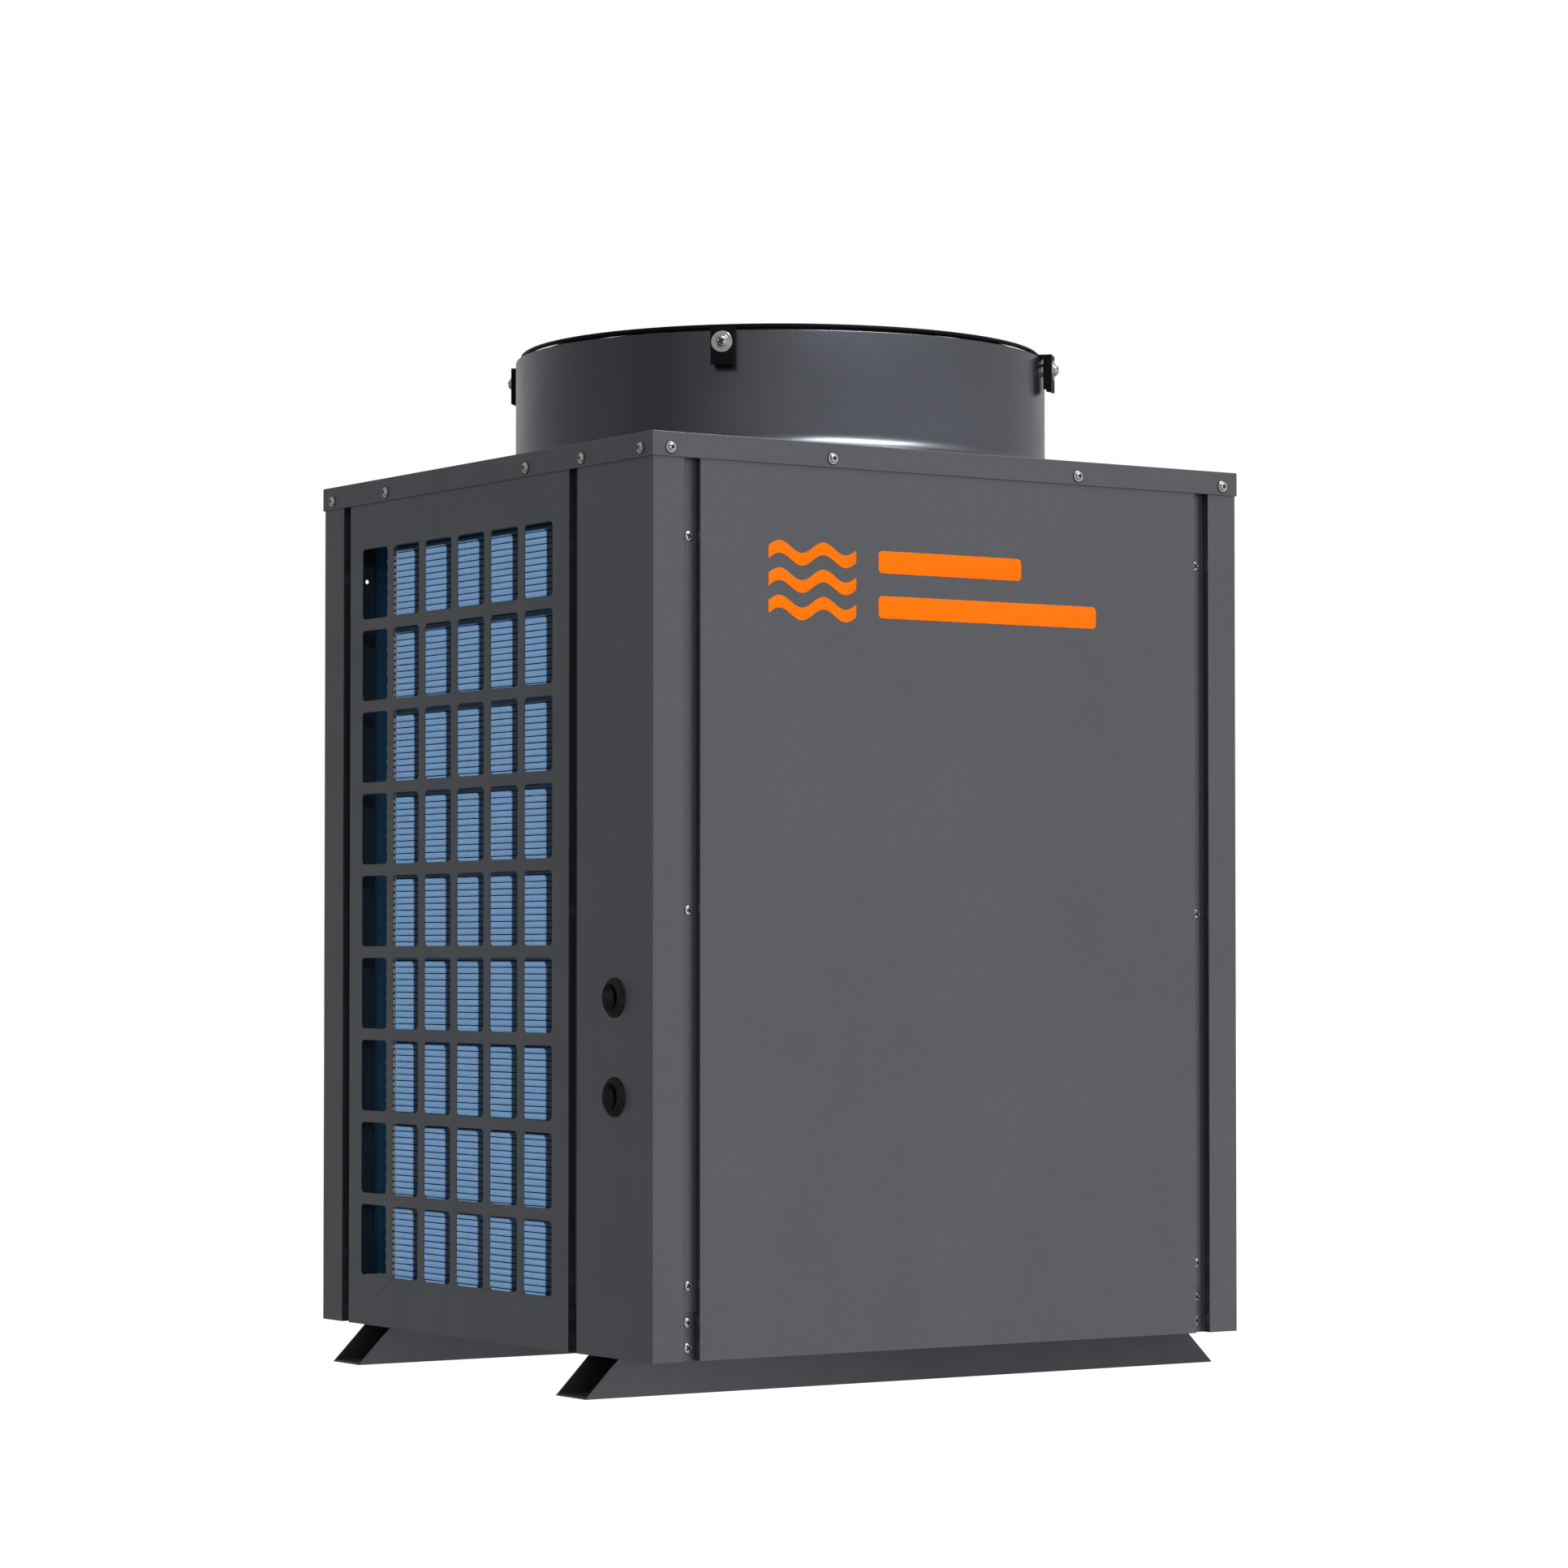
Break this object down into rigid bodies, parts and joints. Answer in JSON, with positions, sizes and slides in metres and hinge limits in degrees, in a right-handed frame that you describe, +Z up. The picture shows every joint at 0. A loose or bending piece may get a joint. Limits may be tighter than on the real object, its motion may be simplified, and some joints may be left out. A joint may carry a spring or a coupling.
{
  "type": "pool heat pump unit",
  "caption": "Top-discharge air-source heat pump: grey sheet-metal cabinet on skid rails, blue coils behind side grilles, round fan duct with wire guard.",
  "frame": {"origin": "on the ground under the cabinet's centre, which is the centre of the four anchor holes", "axes": "+X to the right seen from the blank front panel, +Y to the rear where the water unions are, +Z up"},
  "size_m": [0.8636, 0.816, 1.19],
  "materials": {
    "cabinet_coat": "charcoal powder coat, satin",
    "rail_coat": "charcoal powder coat, satin",
    "black_coat": "black plastic-dipped steel, semi-gloss",
    "galvanised": "galvanised sheet, spangled",
    "bright_zinc": "bright zinc plate",
    "plain_steel": "ground steel",
    "black_rubber": "moulded rubber, matt",
    "fin_blue": "blue hydrophilic coat on aluminium fins",
    "copper": "drawn copper, slightly tarnished",
    "compressor_black": "black enamel",
    "motor_grey": "dark grey enamel",
    "fan_plastic": "glass-filled plastic, matt black",
    "pipe_plastic": "grey pressure-pipe plastic",
    "vessel_plastic": "moulded white plastic",
    "device_plastic": "pale grey thermoplastic",
    "board_green": "solder-masked circuit board",
    "drier_blue": "blue enamel"
  },
  "bodies": {
    "cabinet": {"front_rail": "rail_coat", "rear_rail": "rail_coat", "base_tray": "galvanised", "frame_bolts": "bright_zinc", "drain_spigot": "pipe_plastic", "front_right_post": "cabinet_coat", "rear_right_post": "cabinet_coat", "front_left_post": "cabinet_coat", "rear_left_post": "cabinet_coat", "front_panel": "cabinet_coat", "rear_panel": "cabinet_coat", "left_grille_panel": "cabinet_coat", "right_grille_panel": "cabinet_coat", "top_cover": "cabinet_coat", "panel_screws": "bright_zinc", "cap_screws": "bright_zinc", "cable_grommets": "black_rubber", "fan_duct": "cabinet_coat", "fan_guard": "black_coat", "guard_tabs": "black_coat", "guard_bolts": "bright_zinc", "motor_frame": "galvanised", "motor_shell": "motor_grey", "motor_end_cap": "motor_grey", "motor_bearings": "plain_steel", "left_coil_fins": "fin_blue", "right_coil_fins": "fin_blue", "coil_plates": "galvanised", "return_bends": "plain_steel", "coil_headers": "copper", "compressor": "compressor_black", "compressor_rubbers": "black_rubber", "compressor_terminal_box": "fan_plastic", "accumulator": "compressor_black", "water_exchanger": "vessel_plastic", "water_pipes": "pipe_plastic", "union_sockets": "pipe_plastic", "flow_switch": "fan_plastic", "reversing_valve": "copper", "discharge_pipe": "copper", "suction_pipes": "copper", "hot_gas_pipe": "copper", "coil_gas_pipe": "copper", "liquid_pipe": "copper", "filter_drier": "drier_blue", "expansion_valve": "copper", "electrical_box": "galvanised", "electrical_cover": "galvanised", "control_board": "board_green", "contactor_body": "device_plastic", "terminal_block": "device_plastic", "run_capacitor": "plain_steel"},
    "fan_rotor": {"fan_shaft": "plain_steel", "motor_rotor": "plain_steel", "fan_hub": "fan_plastic", "fan_blades": "fan_plastic", "fan_nut": "bright_zinc"},
    "armature": {"contactor_armature": "fan_plastic"},
    "paddle": {"flow_paddle": "plain_steel"}
  },
  "joints": [
    {"name": "fan_spin", "type": "hinge", "parent": "cabinet", "child": "fan_rotor", "pos_m": [0.008, -0.005, 1], "axis": [0, 0, 1], "continuous": true},
    {"name": "contactor_pull", "type": "slide", "parent": "cabinet", "child": "armature", "axis": [0, 1, 0], "range_m": [0, 0.004], "stiffness_N_per_m": 400, "springref_m": -0.001},
    {"name": "flow_paddle_swing", "type": "hinge", "parent": "cabinet", "child": "paddle", "pos_m": [0.15, 0.3155, 0.193], "axis": [1, 0, 0], "range_deg": [-30, 0], "stiffness_Nm_per_rad": 0.02}
  ]
}
